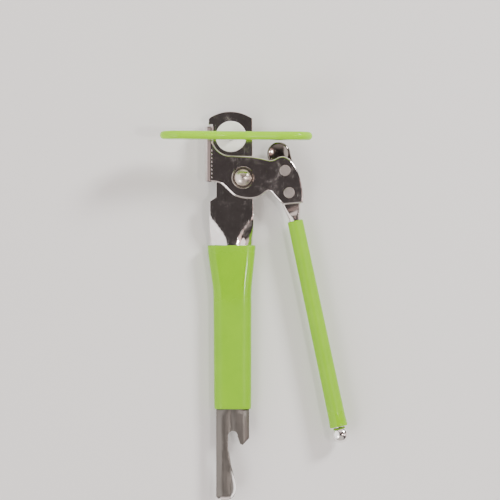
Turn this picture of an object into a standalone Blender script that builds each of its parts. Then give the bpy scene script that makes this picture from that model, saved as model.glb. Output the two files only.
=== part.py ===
"""Winged can opener: two riveted steel levers, a fixed blade, and a toothed wheel turned by a dipped wing.

Metres. The origin is the centre of the pivot rivet's flat tail face. +Z runs along the pivot and wing axes
towards the wing, +Y from the pivot towards the head, and +X towards the short handle.
"""

import bpy
import bmesh
import math
from mathutils import Matrix, Vector
from mathutils.geometry import delaunay_2d_cdt

MM = 0.001
SHARP_ANGLE = math.radians(40.0)

# Clearances
FACE_GAP = 0.3 * MM
BORE_GAP = 0.15 * MM

# Pivot
PIVOT_RADIUS = 2.3 * MM
PIVOT_TAIL_RADIUS = 3.6 * MM
PIVOT_TAIL_HEIGHT = 1.6 * MM
PIVOT_DOME_RADIUS = 4.2 * MM
PIVOT_DOME_HEIGHT = 2.6 * MM
PIVOT_WASHER_RADIUS = 5.6 * MM
PIVOT_WASHER_RIM = 0.7 * MM
PIVOT_WASHER_THICK = 0.7 * MM
REAR_WASHER_RADIUS = 5.0 * MM
REAR_WASHER_THICK = 0.7 * MM

# Long lever: a steel strip, flat at the head and arched below
LONG_PLATE = 1.5 * MM
LONG_EDGE_ROUND = 0.3 * MM
LONG_MESH_MARGIN = 0.65 * MM
HEAD_TOP = 33.0 * MM
HEAD_SHOULDER = 29.5 * MM
HEAD_LEFT = -17.2 * MM
HEAD_RIGHT = 4.65 * MM
RECESS_TOP = 26.4 * MM
RECESS_UPPER_LEFT = -15.3 * MM
RECESS_LOWER_LEFT = -13.5 * MM
RECESS_BOTTOM = -9.6 * MM
STRIP_LEFT = -16.65 * MM
STRIP_RIGHT = 5.15 * MM
ARCH_START = -16.0 * MM
ARCH_FULL = -33.0 * MM
ARCH_DEPTH = 5.0 * MM
ARCH_FLAT_SHARE = 0.12
SHANK_LEFT = -13.85 * MM
SHANK_RIGHT = 3.2 * MM
SHANK_NARROWING = 27.0 * MM
TAIL_DEPTH = 1.6 * MM
TAIL_BLEND = 4.0 * MM
TAIL_FLAT_SHARE = 0.7
SHANK_TAPER = 0.35 * MM
TAIL_CREASE_X = -6.0 * MM
TAIL_CREASE_WIDTH = 0.9 * MM
TAIL_CREASE_DEPTH = 0.35 * MM

# Tail of the long lever, measured down from the grip's lower end
TAIL_LENGTH = 45.25 * MM
NOTCH_X = -5.1 * MM
NOTCH_RADIUS = 2.4 * MM
NOTCH_CENTRE = 13.3 * MM
TOOTH_TIP_X = -0.1 * MM
TOOTH_TIP = 17.9 * MM
TOOTH_CORNER = 14.6 * MM
TONGUE_WAIST_X = -6.9 * MM
TONGUE_WAIST = 22.5 * MM
TONGUE_BULGE_X = -3.2 * MM
TONGUE_BULGE = 38.5 * MM
TONGUE_SHOULDER = 19.75 * MM
TONGUE_LIP_WIDTH = 1.9 * MM
TONGUE_LIP_HEIGHT = 1.1 * MM

# Long grip
LONG_GRIP_TOP = -33.75 * MM
LONG_GRIP_LENGTH = 81.75 * MM
LONG_GRIP_WALL = 0.7 * MM
LONG_GRIP_LIP = 0.2 * MM
LONG_GRIP_LIP_LENGTH = 3.0 * MM
LONG_GRIP_SHOULDER = 3.4 * MM
LONG_GRIP_HEEL = 1.2 * MM
LONG_GRIP_CROWN = 0.55 * MM

# Short lever's plate
SHORT_PLATE = 1.6 * MM
SHORT_EDGE_ROUND = 0.9 * MM
SHORT_BACK_ROUND = 0.2 * MM
COVE_RADIUS = 9.4 * MM
# Millimetres, from the flange under the pivot to the lower corner, then up and back to the cove
PLATE_LOWER_EDGE = ((-13.5, -2.3), (-10.5, -3.25), (-7.5, -6.1), (-5.0, -8.5), (-2.5, -9.7),
                    (0.5, -10.4), (3.5, -10.6), (6.2, -10.3), (8.7, -9.4), (11.0, -7.7),
                    (12.75, -6.75), (14.3, -7.5), (16.0, -9.6), (19.9, -13.6))
PLATE_UPPER_EDGE = ((29.95, -12.7), (30.25, -10.0), (30.0, -7.0), (29.15, -2.2), (27.9, 2.0),
                    (26.3, 5.5), (24.4, 8.2), (22.0, 10.2), (19.7, 10.85), (17.5, 10.25),
                    (15.5, 9.2), (13.3, 8.85), (9.5, 9.75), (4.5, 10.7))
FLANGE_RIGHT = -14.8 * MM
FLANGE_LEFT = -18.85 * MM
FLANGE_TOP = 25.5 * MM
FLANGE_BOTTOM = -2.0 * MM
FLANGE_BEND = 2.9 * MM
RETURN_BEND = 2.6 * MM
RETURN_LIP = 1.9 * MM

# Blade
BLADE_THICK = 1.2 * MM
BLADE_LEFT = -16.3 * MM
BLADE_SHANK_RIGHT = -14.3 * MM
BLADE_BEHIND_WHEEL = 0.7 * MM
BLADE_BOTTOM = 1.5 * MM
BLADE_TOP = 21.6 * MM
BLADE_EDGE = 0.15 * MM
BLADE_GRIND = 1.3 * MM
BLADE_GRIND_SHARE = 0.55
BLADE_RIVET_X = -15.35 * MM
BLADE_RIVET_YS = (4.0 * MM, 13.0 * MM)
BLADE_RIVET_RADIUS = 0.65 * MM
BLADE_RIVET_HEAD = 1.0 * MM
BLADE_RIVET_SINK = 0.4 * MM

# Handle rivets
HANDLE_RIVETS = ((21.0 * MM, 3.5 * MM), (23.0 * MM, -7.5 * MM))
HANDLE_RIVET_RADIUS = 1.6 * MM
HANDLE_RIVET_HEAD = 2.75 * MM
HANDLE_RIVET_HEIGHT = 0.7 * MM

# Short handle
EYE_CENTRE = (17.85 * MM, 12.0 * MM)
EYE_RADIUS = 5.8 * MM
EYE_RIM = 0.8 * MM
EYE_DISH = 0.75 * MM
FLAT_THICK = 2.1 * MM
FLAT_WIDTH = 9.4 * MM
TUBE_RADIUS = 2.75 * MM
TUBE_WALL = 0.8 * MM
HANDLE_ANGLE = math.radians(12.0)
SHORT_GRIP_START = (26.0 * MM, -21.5 * MM)
SHORT_GRIP_LENGTH = 105.0 * MM
SHORT_GRIP_WALL = 0.85 * MM
SHORT_GRIP_FLARE = 0.75 * MM
SHORT_GRIP_FLARE_LENGTH = 6.0 * MM
BALL_RADIUS = 4.4 * MM
BALL_SPIGOT_LENGTH = 9.0 * MM
NECK_LENGTH = 11.0 * MM
# Share of the way down the neck, and how far width and depth have gone from flat to round
NECK_SHAPE = ((0.18, 0.05, 0.03), (0.38, 0.31, 0.12), (0.55, 0.51, 0.26),
              (0.69, 0.69, 0.56), (0.85, 0.9, 0.88))

# Feed wheel, spindle and wing
FEED_X = -6.0 * MM
FEED_Y = 20.5 * MM
FEED_RADIUS = 7.0 * MM
FEED_THICK = 2.4 * MM
FEED_TEETH = 22
FEED_TOOTH_DEPTH = 0.85 * MM
FEED_WASHER_RADIUS = 4.6 * MM
FEED_WASHER_THICK = 0.9 * MM
SPINDLE_RADIUS = 2.6 * MM
SPINDLE_SQUARE = 3.6 * MM
SPINDLE_HEAD_HEIGHT = 0.8 * MM
NYLON_RADIUS = 7.7 * MM
NYLON_THICK = 2.0 * MM
STALK_RADIUS = 2.0 * MM
STALK_HEIGHT = 7.2 * MM
SLOT_FLOOR = 2.4 * MM
WING_PIN_RADIUS = 0.9 * MM
WING_PIN_RISE = 4.6 * MM
WING_SPAN = 75.0 * MM
WING_OFFSET = 2.65 * MM
WING_THICK = 4.2 * MM
WING_YAW = math.radians(-0.4)
WING_CORE = 1.6 * MM
WING_WALL = 1.0 * MM
WING_TAB_WIDTH = 4.4 * MM
WING_WAIST = 13.0 * MM
WING_LOBE = 19.5 * MM
WING_DROOP = 2.0 * MM
WING_FOOT = 8.0 * MM
WING_EDGE_SHARE = 0.46

# Heights of the stack at the pivot, from the rivet's tail upwards
REAR_WASHER_BACK = PIVOT_TAIL_HEIGHT + FACE_GAP
LONG_BACK = REAR_WASHER_BACK + REAR_WASHER_THICK + FACE_GAP
LONG_FRONT = LONG_BACK + LONG_PLATE
LONG_MIDDLE = LONG_BACK + LONG_PLATE / 2
SHORT_BACK = LONG_FRONT + FACE_GAP
SHORT_FRONT = SHORT_BACK + SHORT_PLATE
SHORT_MIDDLE = SHORT_BACK + SHORT_PLATE / 2
FRONT_WASHER_BACK = SHORT_FRONT + FACE_GAP
DOME_BASE = FRONT_WASHER_BACK + PIVOT_WASHER_THICK + FACE_GAP

# Heights at the feed axis, down to the return lip and up to the wing
FEED_WASHER_BACK = LONG_BACK - FACE_GAP - FEED_WASHER_THICK
FEED_FRONT = FEED_WASHER_BACK - FACE_GAP
FEED_BACK = FEED_FRONT - FEED_THICK
BLADE_FRONT = FEED_BACK - FACE_GAP
BLADE_BACK = BLADE_FRONT - BLADE_THICK
LIP_FRONT = BLADE_BACK - FACE_GAP
LIP_BACK = LIP_FRONT - SHORT_PLATE
NYLON_BACK = LONG_FRONT + FACE_GAP
STALK_BACK = NYLON_BACK + NYLON_THICK + FACE_GAP
STALK_TOP = STALK_BACK + STALK_HEIGHT
SLOT_BACK = STALK_BACK + SLOT_FLOOR
WING_PIN_Z = STALK_BACK + WING_PIN_RISE

# Places that follow from the sizes above
HANDLE_FRONT = SHORT_BACK - FACE_GAP
HANDLE_MIDDLE = HANDLE_FRONT - FLAT_THICK / 2
HANDLE_DIRECTION = Vector((math.sin(HANDLE_ANGLE), -math.cos(HANDLE_ANGLE), 0.0))
LONG_GRIP_BOTTOM = LONG_GRIP_TOP - LONG_GRIP_LENGTH
TAIL_END = LONG_GRIP_BOTTOM - TAIL_LENGTH
EDGE_LEAN = 0.37 * LONG_PLATE
BEND_LINE = FLANGE_LEFT + FLANGE_BEND
BLADE_REACH = FEED_X - FEED_RADIUS + BLADE_BEHIND_WHEEL


# Small geometry helpers

def smooth(value, start, end):
    """0 at start, 1 at end, with a soft rise between."""
    share = min(max((value - start) / (end - start), 0.0), 1.0)
    return share * share * (3.0 - 2.0 * share)


def spread(start, end, count):
    """count evenly spaced values from start to end."""
    return [start + (end - start) * i / (count - 1) for i in range(count)]


def arc(centre, radius, start, end, count):
    """Points along an arc, angles in degrees."""
    angles = [math.radians(a) for a in spread(start, end, count)]
    return [Vector((centre[0] + radius * math.cos(a), centre[1] + radius * math.sin(a))) for a in angles]


def curve_through(points, pieces):
    """A smooth Catmull-Rom curve through 2-D points, with its two ends kept."""
    points = [Vector(p) for p in points]
    path = [points[0]]
    for i in range(len(points) - 1):
        before = points[max(i - 1, 0)]
        after = points[min(i + 2, len(points) - 1)]
        for k in range(1, pieces + 1):
            path.append(catmull(before, points[i], points[i + 1], after, k / pieces))
    return path


def catmull(p0, p1, p2, p3, t):
    """One point of a Catmull-Rom span between p1 and p2."""
    cubic = (3.0 * p1 - 3.0 * p2 + p3 - p0) * t
    square = 2.0 * p0 - 5.0 * p1 + 4.0 * p2 - p3
    return (((cubic + square) * t + p2 - p0) * t + 2.0 * p1) / 2.0


def loop_miters(loop):
    """Outward corner vectors of a counter-clockwise loop, for a unit outset."""
    miters = []
    for i, here in enumerate(loop):
        along = (here - loop[i - 1]).normalized()
        onward = (loop[(i + 1) % len(loop)] - here).normalized()
        normal = Vector((along.y, -along.x))
        next_normal = Vector((onward.y, -onward.x))
        miters.append((normal + next_normal) / (1.0 + normal.dot(next_normal)))
    return miters


def outset(loop, distance):
    """A counter-clockwise loop grown by distance."""
    return [point + miter * distance for point, miter in zip(loop, loop_miters(loop))]


def inside(loop, point):
    """Whether a point lies inside a loop."""
    hit = False
    for i, here in enumerate(loop):
        last = loop[i - 1]
        if (here.y > point.y) != (last.y > point.y):
            share = (point.y - here.y) / (last.y - here.y)
            if point.x < here.x + share * (last.x - here.x):
                hit = not hit
    return hit


def distance_to(loop, point):
    """Distance from a point to the nearest side of a loop."""
    best = math.inf
    for i, here in enumerate(loop):
        side = here - loop[i - 1]
        share = min(max((point - loop[i - 1]).dot(side) / side.length_squared, 0.0), 1.0)
        best = min(best, (point - loop[i - 1] - side * share).length)
    return best


# Solids

def new_object(name, mesh):
    """Link a mesh as a named object."""
    thing = bpy.data.objects.new(name, mesh)
    bpy.context.scene.collection.objects.link(thing)
    return thing


def finish_mesh(bm, name):
    """Turn a bmesh into a smooth-shaded object whose sharp edges stay sharp."""
    bmesh.ops.recalc_face_normals(bm, faces=bm.faces)
    mesh = bpy.data.meshes.new(name)
    bm.to_mesh(mesh)
    bm.free()
    mesh.shade_smooth()
    mesh.set_sharp_from_angle(angle=SHARP_ANGLE)
    return new_object(name, mesh)


def skin(bm, rings, closed):
    """Quads between rings of vertices, joining the last to the first or capping both ends."""
    pairs = list(zip(rings, rings[1:]))
    if closed:
        pairs.append((rings[-1], rings[0]))
    for low, high in pairs:
        for i in range(len(low)):
            k = (i + 1) % len(low)
            bm.faces.new((low[i], low[k], high[k], high[i]))
    if not closed:
        bm.faces.new(rings[0])
        bm.faces.new(rings[-1])


def loft(name, sections, closed=False):
    """A solid through rings of points."""
    bm = bmesh.new()
    rings = [[bm.verts.new(point) for point in section] for section in sections]
    skin(bm, rings, closed)
    return finish_mesh(bm, name)


def circle(radius, centre, height, count):
    """A level ring of points."""
    x, y = centre
    turns = [math.tau * i / count for i in range(count)]
    return [Vector((x + radius * math.cos(a), y + radius * math.sin(a), height)) for a in turns]


def turned(name, profile, centre=(0.0, 0.0), count=32, closed=False):
    """A solid of revolution about Z from (radius, height) points."""
    return loft(name, [circle(radius, centre, height, count) for radius, height in profile], closed)


def washer(name, centre, inner, outer, back, front, chamfer, count=32):
    """A flat ring with chamfered outer corners."""
    profile = [(inner, back), (outer - chamfer, back), (outer, back + chamfer)]
    profile += [(outer, front - chamfer), (outer - chamfer, front), (inner, front)]
    return turned(name, profile, centre, count, closed=True)


def edge_profile(thick, front_round, back_round, steps=3, back_steps=1):
    """(outset, height) steps from the front face round the edge to the back face."""
    half = thick / 2
    reach = max(front_round, back_round)
    profile = []
    for a in spread(0.0, math.pi / 2, steps + 1):
        profile.append((reach - front_round * (1 - math.sin(a)), half - front_round * (1 - math.cos(a))))
    for a in spread(math.pi / 2, 0.0, back_steps + 1):
        profile.append((reach - back_round * (1 - math.sin(a)), -half + back_round * (1 - math.cos(a))))
    if front_round < reach:
        profile.insert(0, (0.0, half))
    if back_round < reach:
        profile.append((0.0, -half))
    clean = [profile[0]]
    for step in profile[1:]:
        if math.dist(step, clean[-1]) > 1e-7:
            clean.append(step)
    return clean


def sheet(name, outline, place, profile, holes=(), inner=(), creases=()):
    """A bent sheet-metal solid.

    outline and holes are counter-clockwise loops in the flat, place(x, y, h) puts a flat point at height h
    off the middle surface, inner are extra flat points, and creases are pairs of outline corners joined by
    an edge.
    """
    reach = max(step[0] for step in profile)
    points, edges, rims = [], list(creases), []
    for loop, sign in [(outline, 1.0)] + [(hole, -1.0) for hole in holes]:
        miters = [miter * sign for miter in loop_miters(loop)]
        first = len(points)
        rims.append((loop, miters, first))
        points += [point - miter * reach for point, miter in zip(loop, miters)]
        edges += [(first + i, first + (i + 1) % len(loop)) for i in range(len(loop))]
    points += list(inner)
    flat, _, triangles, sources, _, _ = delaunay_2d_cdt(points, edges, [], 1, 1e-9)
    made_from = {source: i for i, group in enumerate(sources) for source in group}
    cut_out = [[points[first + i] for i in range(len(loop))] for loop, _, first in rims[1:]]
    bm = bmesh.new()
    front = [bm.verts.new(place(p.x, p.y, profile[0][1])) for p in flat]
    back = [bm.verts.new(place(p.x, p.y, profile[-1][1])) for p in flat]
    for a, b, c in triangles:
        middle = (flat[a] + flat[b] + flat[c]) / 3.0
        if not any(inside(loop, middle) for loop in cut_out):
            bm.faces.new((front[a], front[b], front[c]))
            bm.faces.new((back[c], back[b], back[a]))
    for loop, miters, first in rims:
        border = [made_from[first + i] for i in range(len(loop))]
        rings = [[front[i] for i in border]]
        for step_out, height in profile[1:-1]:
            ring = [points[first + i] + miters[i] * step_out for i in range(len(loop))]
            rings.append([bm.verts.new(place(p.x, p.y, height)) for p in ring])
        rings.append([back[i] for i in border])
        for low, high in zip(rings, rings[1:]):
            for i in range(len(low)):
                k = (i + 1) % len(low)
                bm.faces.new((low[i], high[i], high[k], low[k]))
    bmesh.ops.delete(bm, geom=[v for v in bm.verts if not v.link_faces], context="VERTS")
    return finish_mesh(bm, name)


def flat_place(middle):
    """A place function for a level sheet whose middle surface is at the given height."""
    return lambda x, y, h: Vector((x, y, middle + h))


def carve(target, *cutters):
    """Cut closed cutters out of a solid, one after another."""
    for cutter in cutters:
        boolean = target.modifiers.new("cut", "BOOLEAN")
        boolean.operation = "DIFFERENCE"
        boolean.solver = "EXACT"
        boolean.object = cutter
        depsgraph = bpy.context.evaluated_depsgraph_get()
        mesh = bpy.data.meshes.new_from_object(target.evaluated_get(depsgraph))
        target.modifiers.clear()
        target.data = mesh
        bpy.data.objects.remove(cutter)
    target.data.set_sharp_from_angle(angle=SHARP_ANGLE)
    return target


def box(name, low, high):
    """A plain block between two corners."""
    bm = bmesh.new()
    bmesh.ops.create_cube(bm, size=1.0)
    size = Vector(high) - Vector(low)
    middle = (Vector(high) + Vector(low)) / 2
    placed = Matrix.Translation(middle) @ Matrix.Diagonal(size).to_4x4()
    bmesh.ops.transform(bm, matrix=placed, verts=bm.verts)
    return finish_mesh(bm, name)


def reshape(thing, matrix):
    """Move a solid's points and keep its object at rest."""
    thing.data.transform(matrix)
    return thing


# Materials

def steel(name, colour, roughness):
    """A bare or plated metal."""
    return material(name, colour, roughness, 1.0)


def material(name, colour, roughness, metallic):
    """A Principled material."""
    made = bpy.data.materials.new(name)
    made.use_nodes = True
    shader = made.node_tree.nodes["Principled BSDF"]
    shader.inputs["Base Color"].default_value = (*colour, 1.0)
    shader.inputs["Roughness"].default_value = roughness
    shader.inputs["Metallic"].default_value = metallic
    return made


def dress(thing, colour):
    """Give an object its own single material."""
    thing.data.materials.clear()
    thing.data.materials.append(colour)
    return thing


# Long lever

def strip_sides(y):
    """Left and right edges of the long lever's middle surface at a height y."""
    narrow = smooth(y, LONG_GRIP_TOP, LONG_GRIP_TOP - SHANK_NARROWING)
    taper = SHANK_TAPER * smooth(y, LONG_GRIP_TOP, LONG_GRIP_BOTTOM)
    lean = EDGE_LEAN * arch_share(y)
    left = STRIP_LEFT + (SHANK_LEFT - STRIP_LEFT) * narrow
    right = STRIP_RIGHT + (SHANK_RIGHT - STRIP_RIGHT) * narrow
    return left + taper + lean, right - lean


def tongue_edge():
    """The tongue's right side and round end, from the notch down to its left corner."""
    left = strip_sides(TAIL_END)[0]
    waist = LONG_GRIP_BOTTOM - TONGUE_WAIST
    bulge = LONG_GRIP_BOTTOM - TONGUE_BULGE
    side_x = NOTCH_X - NOTCH_RADIUS
    between_x = (TONGUE_WAIST_X * 2 + TONGUE_BULGE_X) / 3
    points = [(side_x, LONG_GRIP_BOTTOM - NOTCH_CENTRE - 0.5 * MM)]
    points += [(side_x, LONG_GRIP_BOTTOM - TONGUE_SHOULDER), (TONGUE_WAIST_X, waist)]
    points += [(between_x, (waist + bulge) / 2 + 1.2 * MM)]
    points += [(TONGUE_BULGE_X, bulge), (TONGUE_BULGE_X - 1.6 * MM, TAIL_END + 1.7 * MM)]
    points += [(TONGUE_BULGE_X - 4.6 * MM, TAIL_END), (left + 1.2 * MM, TAIL_END + 0.2 * MM)]
    return curve_through(points, 4)


def long_rows():
    """Heights of the rows of points down the arched part of the strip."""
    rows = spread(ARCH_START, ARCH_FULL, 15)
    rows += spread(ARCH_FULL, LONG_GRIP_TOP - SHANK_NARROWING, 5)[1:]
    rows += spread(LONG_GRIP_TOP - SHANK_NARROWING, LONG_GRIP_BOTTOM + 8.0 * MM, 4)[1:]
    rows += spread(LONG_GRIP_BOTTOM + 8.0 * MM, LONG_GRIP_BOTTOM - TOOTH_CORNER + 1.0 * MM, 7)[1:]
    return rows


def arch_share(y):
    """How far the flat strip has become an arch at a height y, from 0 to 1."""
    return smooth(y, ARCH_START, ARCH_FULL)


def long_height(x, y):
    """Height of the strip's middle surface."""
    left, right = strip_sides(y)
    across = abs((2.0 * x - left - right) / (right - left))
    tail = smooth(y, LONG_GRIP_BOTTOM + TAIL_BLEND, LONG_GRIP_BOTTOM - TAIL_BLEND)
    flat_share = 1.0 + (ARCH_FLAT_SHARE - 1.0) * arch_share(y)
    flat_share += (TAIL_FLAT_SHARE - flat_share) * tail
    depth = (ARCH_DEPTH + (TAIL_DEPTH - ARCH_DEPTH) * tail) * arch_share(y) ** 1.5
    fall = max(across - flat_share, 0.0) / max(1.0 - flat_share, 0.05)
    crease = TAIL_CREASE_DEPTH * tail * math.exp(-((x - TAIL_CREASE_X) / TAIL_CREASE_WIDTH) ** 2)
    return LONG_MIDDLE - depth * fall * fall - crease + tongue_lip(x, y)


def tongue_lip(x, y):
    """Height of the turned-up rim along the tongue's side and end."""
    if y > LONG_GRIP_BOTTOM - TONGUE_WAIST:
        return 0.0
    near = min((Vector((x, y)) - point).length for point in TONGUE_LINE)
    grow = smooth(y, LONG_GRIP_BOTTOM - TONGUE_WAIST, LONG_GRIP_BOTTOM - TONGUE_BULGE)
    return TONGUE_LIP_HEIGHT * grow * (1.0 - smooth(near, 0.0, TONGUE_LIP_WIDTH))


def long_place(x, y, h):
    """Put a flat point of the long lever on its arched surface, h off the middle."""
    step = 0.05 * MM
    height = long_height(x, y)
    slope_x = (long_height(x + step, y) - long_height(x - step, y)) / (2 * step)
    slope_y = (long_height(x, y + step) - long_height(x, y - step)) / (2 * step)
    normal = Vector((-slope_x, -slope_y, 1.0)).normalized()
    return Vector((x, y, height)) + normal * h


def head_outline():
    """From the strip's right edge over the round head and down the recess, counter-clockwise."""
    middle = (HEAD_LEFT + HEAD_RIGHT) / 2
    half = (HEAD_RIGHT - HEAD_LEFT) / 2
    rise = HEAD_TOP - HEAD_SHOULDER
    radius = (half * half + rise * rise) / (2 * rise)
    reach = math.degrees(math.asin(half / radius))
    points = arc((middle, HEAD_TOP - radius), radius, 90.0 - reach, 90.0 + reach, 17)
    points += [Vector((HEAD_LEFT, RECESS_TOP)), Vector((RECESS_UPPER_LEFT, RECESS_TOP))]
    points += [Vector((RECESS_UPPER_LEFT, 4.0 * MM)), Vector((RECESS_LOWER_LEFT, FLANGE_BOTTOM))]
    points += [Vector((RECESS_LOWER_LEFT, RECESS_BOTTOM)), Vector((STRIP_LEFT, RECESS_BOTTOM - 2.2 * MM))]
    return points


def tooth_outline():
    """From the notch round the tooth to the strip's right edge."""
    notch_y = LONG_GRIP_BOTTOM - NOTCH_CENTRE
    right = strip_sides(LONG_GRIP_BOTTOM - TOOTH_CORNER)[1]
    points = arc((NOTCH_X, notch_y), NOTCH_RADIUS, 180.0, -8.0, 13)
    points += [Vector((TOOTH_TIP_X - 1.3 * MM, LONG_GRIP_BOTTOM - TOOTH_TIP + 0.5 * MM))]
    points += [Vector((TOOTH_TIP_X, LONG_GRIP_BOTTOM - TOOTH_TIP))]
    points += [Vector((right, LONG_GRIP_BOTTOM - TOOTH_CORNER))]
    return points


def long_outline():
    """The whole strip's outline in the flat, counter-clockwise from the head."""
    rows = long_rows()
    points = head_outline()
    points += [Vector((strip_sides(y)[0], y)) for y in rows]
    tail_rows = spread(rows[-1], TAIL_END + 1.5 * MM, 10)[1:]
    points += [Vector((strip_sides(y)[0], y)) for y in tail_rows]
    points += list(reversed(TONGUE_LINE))
    points += tooth_outline()
    points += [Vector((strip_sides(y)[1], y)) for y in reversed(rows)]
    return points


def long_inner(outline, holes):
    """Flat points inside the arched part, on rows and columns that follow the strip."""
    rows = long_rows() + spread(LONG_GRIP_BOTTOM - TOOTH_CORNER - 1.0 * MM, TAIL_END + 1.0 * MM, 12)
    points = []
    for y in rows:
        left, right = strip_sides(y)
        for share in spread(0.05, 0.95, 14):
            points.append(Vector((left + (right - left) * share, y)))
    for inset in (0.9 * MM, 1.9 * MM):
        points += outset_line(TONGUE_LINE, -inset)
    loops = [outline, *holes]
    kept = []
    for point in points:
        clear = all(distance_to(loop, point) > LONG_MESH_MARGIN for loop in loops)
        apart = all((point - other).length > LONG_MESH_MARGIN for other in kept)
        if clear and apart and inside(outline, point):
            kept.append(point)
    return kept


def outset_line(line, distance):
    """An open line moved sideways, to its left for a positive distance."""
    moved = []
    for i in range(1, len(line) - 1):
        along = (line[i + 1] - line[i - 1]).normalized()
        moved.append(line[i] + Vector((-along.y, along.x)) * distance)
    return moved


def make_long_lever():
    """The steel strip with its pivot and spindle holes."""
    outline = long_outline()
    holes = [arc((0.0, 0.0), PIVOT_RADIUS + BORE_GAP, 0.0, 348.75, 32)]
    holes.append(arc((FEED_X, FEED_Y), SPINDLE_RADIUS + BORE_GAP, 0.0, 348.75, 32))
    profile = edge_profile(LONG_PLATE, LONG_EDGE_ROUND, LONG_EDGE_ROUND, 2, 1)
    lever = sheet("long_lever", outline, long_place, profile, holes, long_inner(outline, holes))
    return dress(lever, steel("polished_strip", (0.62, 0.60, 0.58), 0.12))


def grip_section(y, grow):
    """A ring around the arched strip, grown outwards: flat behind, arched in front."""
    left, right = strip_sides(y)
    half = (right - left) / 2 + EDGE_LEAN + 0.05 * MM + grow
    middle = (left + right) / 2
    front = LONG_FRONT + grow
    back = LONG_MIDDLE - ARCH_DEPTH - LONG_PLATE / 2 - grow
    shoulder = LONG_GRIP_SHOULDER + grow
    heel = LONG_GRIP_HEEL + grow
    ring = []
    for a in spread(math.radians(90.0), math.radians(20.0), 8):
        ring.append((half - shoulder + shoulder * math.cos(a), shoulder * (math.sin(a) - 1)))
    ring = [(x, front - LONG_GRIP_CROWN * (x / half) ** 2 + drop) for x, drop in ring]
    for a in spread(0.0, math.radians(-90.0), 4):
        ring.append((half - heel + heel * math.cos(a), back + heel + heel * math.sin(a)))
    ring.append((half * 0.4, back))
    mirrored = [(-x, z) for x, z in reversed(ring)]
    centre_front = [(0.0, front)]
    return [Vector((middle + x, y, z)) for x, z in ring + mirrored + centre_front]


def make_long_grip():
    """The soft sleeve over the strip, open at both ends, with a thicker lip at the top."""
    inner_grow = FACE_GAP
    outer_grow = FACE_GAP + LONG_GRIP_WALL
    round_in = 0.5 * LONG_GRIP_WALL
    rows = [(LONG_GRIP_TOP, inner_grow + round_in), (LONG_GRIP_TOP - 0.15 * MM, outer_grow)]
    rows += [(LONG_GRIP_TOP - 0.7 * MM, outer_grow + LONG_GRIP_LIP)]
    rows += [(LONG_GRIP_TOP - LONG_GRIP_LIP_LENGTH * 0.6, outer_grow + LONG_GRIP_LIP * 0.6)]
    rows += [(LONG_GRIP_TOP - LONG_GRIP_LIP_LENGTH, outer_grow + LONG_GRIP_LIP * 0.2)]
    span = spread(LONG_GRIP_TOP - LONG_GRIP_LIP_LENGTH, LONG_GRIP_TOP - SHANK_NARROWING, 7)[1:]
    rows += [(y, outer_grow) for y in span]
    rows += [(LONG_GRIP_BOTTOM + 1.0 * MM, outer_grow), (LONG_GRIP_BOTTOM + 0.2 * MM, outer_grow - 0.2 * MM)]
    rows += [(LONG_GRIP_BOTTOM, inner_grow + round_in)]
    bore = [LONG_GRIP_BOTTOM] + list(reversed(span)) + [LONG_GRIP_TOP - LONG_GRIP_LIP_LENGTH, LONG_GRIP_TOP]
    sections = [grip_section(y, grow) for y, grow in rows]
    sections += [grip_section(y, inner_grow) for y in bore]
    grip = loft("long_handle_grip", sections, closed=True)
    return dress(grip, material("lime_vinyl", (0.38, 0.60, 0.04), 0.42, 0.0))


# Pivot

def make_pivot():
    """The pivot rivet and its two washers."""
    top = DOME_BASE + PIVOT_DOME_HEIGHT
    profile = [(PIVOT_TAIL_RADIUS - 0.4 * MM, 0.0), (PIVOT_TAIL_RADIUS, 0.4 * MM)]
    profile += [(PIVOT_TAIL_RADIUS, PIVOT_TAIL_HEIGHT), (PIVOT_RADIUS, PIVOT_TAIL_HEIGHT)]
    profile.append((PIVOT_RADIUS, DOME_BASE))
    for a in spread(0.0, math.radians(86.0), 8):
        profile.append((PIVOT_DOME_RADIUS * math.cos(a), top - PIVOT_DOME_HEIGHT * (1.0 - math.sin(a))))
    rivet = turned("pivot_rivet", profile)
    bore = PIVOT_RADIUS + BORE_GAP
    rear = washer("pivot_rear_washer", (0.0, 0.0), bore, REAR_WASHER_RADIUS, REAR_WASHER_BACK,
                  REAR_WASHER_BACK + REAR_WASHER_THICK, 0.15 * MM)
    floor = FRONT_WASHER_BACK + PIVOT_WASHER_THICK
    rim_front = floor + 0.35 * MM
    rim_start = PIVOT_WASHER_RADIUS - PIVOT_WASHER_RIM
    ring = [(bore, FRONT_WASHER_BACK), (PIVOT_WASHER_RADIUS - 0.2 * MM, FRONT_WASHER_BACK)]
    ring.append((PIVOT_WASHER_RADIUS, FRONT_WASHER_BACK + 0.2 * MM))
    ring += [(PIVOT_WASHER_RADIUS, rim_front - 0.25 * MM), (PIVOT_WASHER_RADIUS - 0.2 * MM, rim_front)]
    ring += [(rim_start + 0.2 * MM, rim_front), (rim_start, floor), (bore, floor)]
    front = turned("pivot_front_washer", ring, closed=True)
    dress(rivet, steel("polished_rivet", (0.72, 0.70, 0.66), 0.1))
    dress(rear, steel("zinc_washer", (0.55, 0.55, 0.54), 0.35))
    dress(front, steel("bright_washer", (0.66, 0.63, 0.61), 0.15))


# Short lever

def bend_lengths():
    """Middle radii and lengths of the flange's bend, wall and return bend, in the flat."""
    first = FLANGE_BEND - SHORT_PLATE / 2
    second = RETURN_BEND - SHORT_PLATE / 2
    wall = (SHORT_FRONT - FLANGE_BEND) - (LIP_BACK + RETURN_BEND)
    return first, first * math.pi / 2, wall, second, second * math.pi / 2


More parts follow.
